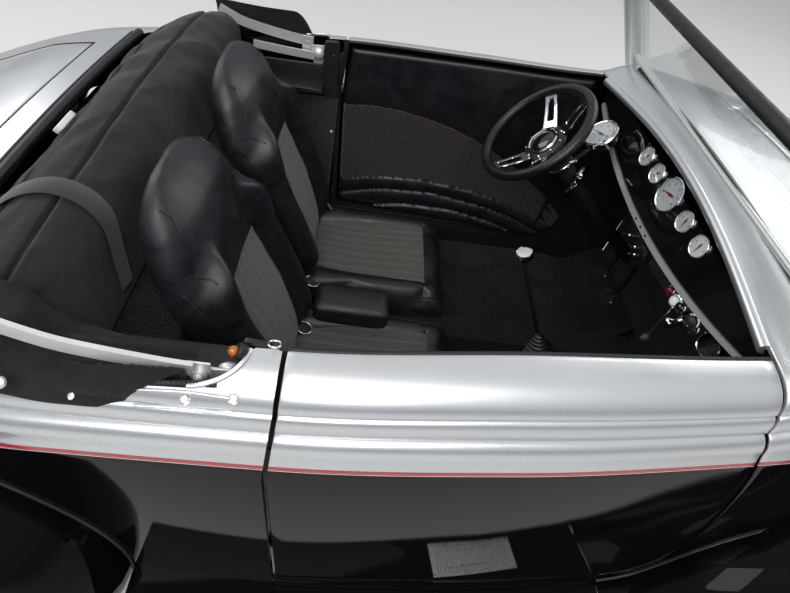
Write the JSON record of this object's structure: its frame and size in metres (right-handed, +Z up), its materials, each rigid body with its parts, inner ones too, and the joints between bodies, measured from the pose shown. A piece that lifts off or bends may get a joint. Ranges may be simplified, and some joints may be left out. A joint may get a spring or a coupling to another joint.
{
  "type": "open roadster street rod",
  "caption": "Full-fendered open roadster with opening doors, split hood and rear lid, steered front wheels and a folded top.",
  "frame": {"origin": "on the ground, at the middle of the car's length and width", "axes": "+X forward, +Y to the car's left, +Z up"},
  "size_m": [3.9126, 1.7372, 1.409],
  "materials": {
    "body_paint": "metallic silver over gloss black, red coach line between them",
    "black_paint": "deep gloss black",
    "frame_paint": "satin black",
    "bright_trim": "polished",
    "brushed_trim": "brushed strip",
    "windshield_metal": "silver paint on the posts and top irons",
    "window_glass": "clear flat glass",
    "radiator_core": "finned core, dark",
    "dash_gloss": "gloss black",
    "gauge_metal": "bright bezels around pale dials",
    "seat_leather": "black grained leather with tweed insert",
    "wheel_grip": "black grip on bright spokes",
    "column_black": "gloss black",
    "top_cloth": "black canvas",
    "carpet": "black loop carpet over painted steel",
    "lamp_red": "ribbed red lens",
    "forged_steel": "machined steel",
    "engine_iron": "painted casting",
    "exhaust_steel": "steel tube",
    "tank_steel": "painted steel",
    "rim_alloy": "polished five spoke casting",
    "tyre_rubber": "black rubber"
  },
  "bodies": {
    "chassis": {"rear_body": "body_paint", "cowl": "body_paint", "hood_sides": "black_paint", "grille_shell": "body_paint", "grille_bars": "bright_trim", "radiator": "radiator_core", "front_fenders": "black_paint", "rear_fenders": "black_paint", "running_boards": "black_paint", "sills": "black_paint", "frame": "frame_paint", "floor": "carpet", "windshield_frame": "windshield_metal", "windshield_glass": "window_glass", "dash": "dash_gloss", "dash_trim": "brushed_trim", "gauges": "gauge_metal", "seat_cushions": "seat_leather", "seat_backs": "seat_leather", "armrest": "seat_leather", "steering_column": "column_black", "controls": "bright_trim", "soft_top": "top_cloth", "top_irons": "windshield_metal", "headlamps": "bright_trim", "tail_lamps": "lamp_red", "plate_bracket": "black_paint", "front_axle": "frame_paint", "rear_axle": "frame_paint", "engine": "engine_iron", "exhaust": "exhaust_steel", "fuel_tank": "tank_steel"},
    "door_left": {"door_left": "body_paint"},
    "door_right": {"door_right": "body_paint"},
    "deck_lid": {"deck_lid": "body_paint"},
    "hood_left": {"hood_left": "body_paint"},
    "hood_right": {"hood_right": "body_paint"},
    "steering_wheel": {"steering_wheel": "wheel_grip"},
    "knuckle_left": {"knuckle_left": "forged_steel"},
    "knuckle_right": {"knuckle_right": "forged_steel"},
    "tie_rod": {"tie_rod": "forged_steel"},
    "wheel_front_left": {"rim_front_left": "rim_alloy", "tyre_front_left": "tyre_rubber"},
    "wheel_front_right": {"rim_front_right": "rim_alloy", "tyre_front_right": "tyre_rubber"},
    "wheel_rear_left": {"rim_rear_left": "rim_alloy", "tyre_rear_left": "tyre_rubber"},
    "wheel_rear_right": {"rim_rear_right": "rim_alloy", "tyre_rear_right": "tyre_rubber"}
  },
  "joints": [
    {"name": "steer_left", "type": "hinge", "parent": "chassis", "child": "knuckle_left", "pos_m": [1.545, 0.565, 0.255], "axis": [0, 0, 1], "range_deg": [-30, 30]},
    {"name": "steer_right", "type": "hinge", "parent": "chassis", "child": "knuckle_right", "pos_m": [1.545, -0.565, 0.255], "axis": [0, 0, 1], "range_deg": [-30, 30]},
    {"name": "tie_rod_swing", "type": "hinge", "parent": "knuckle_left", "child": "tie_rod", "pos_m": [1.42, 0.565, 0.191], "axis": [0, 0, 1], "range_deg": [-30, 30]},
    {"name": "steering_wheel_turn", "type": "hinge", "parent": "chassis", "child": "steering_wheel", "pos_m": [-0.056, 0.301, 0.991], "axis": [-0.7466, 0, 0.6652], "range_deg": [-450, 450]},
    {"name": "wheel_front_left_spin", "type": "hinge", "parent": "knuckle_left", "child": "wheel_front_left", "pos_m": [1.545, 0.67, 0.3], "axis": [0, 1, 0], "continuous": true},
    {"name": "wheel_front_right_spin", "type": "hinge", "parent": "knuckle_right", "child": "wheel_front_right", "pos_m": [1.545, -0.67, 0.3], "axis": [0, 1, 0], "continuous": true},
    {"name": "wheel_rear_left_spin", "type": "hinge", "parent": "chassis", "child": "wheel_rear_left", "pos_m": [-1.4, 0.715, 0.35], "axis": [0, 1, 0], "continuous": true},
    {"name": "wheel_rear_right_spin", "type": "hinge", "parent": "chassis", "child": "wheel_rear_right", "pos_m": [-1.4, -0.715, 0.35], "axis": [0, 1, 0], "continuous": true},
    {"name": "door_left_hinge", "type": "hinge", "parent": "chassis", "child": "door_left", "pos_m": [0.279, 0.673, 0.7], "axis": [0, 0, -1], "range_deg": [0, 62]},
    {"name": "door_right_hinge", "type": "hinge", "parent": "chassis", "child": "door_right", "pos_m": [0.279, -0.673, 0.7], "axis": [0, 0, 1], "range_deg": [0, 62]},
    {"name": "deck_lid_hinge", "type": "hinge", "parent": "chassis", "child": "deck_lid", "pos_m": [-1.407, 0, 1.012], "axis": [0, 1, 0], "range_deg": [0, 55]},
    {"name": "hood_left_hinge", "type": "hinge", "parent": "chassis", "child": "hood_left", "pos_m": [0.49, 0, 1.171], "axis": [0.9963, 0, -0.0857], "range_deg": [0, 65]},
    {"name": "hood_right_hinge", "type": "hinge", "parent": "chassis", "child": "hood_right", "pos_m": [0.49, 0, 1.171], "axis": [-0.9963, 0, 0.0857], "range_deg": [0, 65]}
  ],
  "couplings": [
    {"joint": "steer_right", "follows": "steer_left", "ratio": 1},
    {"joint": "tie_rod_swing", "follows": "steer_left", "ratio": -1},
    {"joint": "steering_wheel_turn", "follows": "steer_left", "ratio": 15}
  ]
}
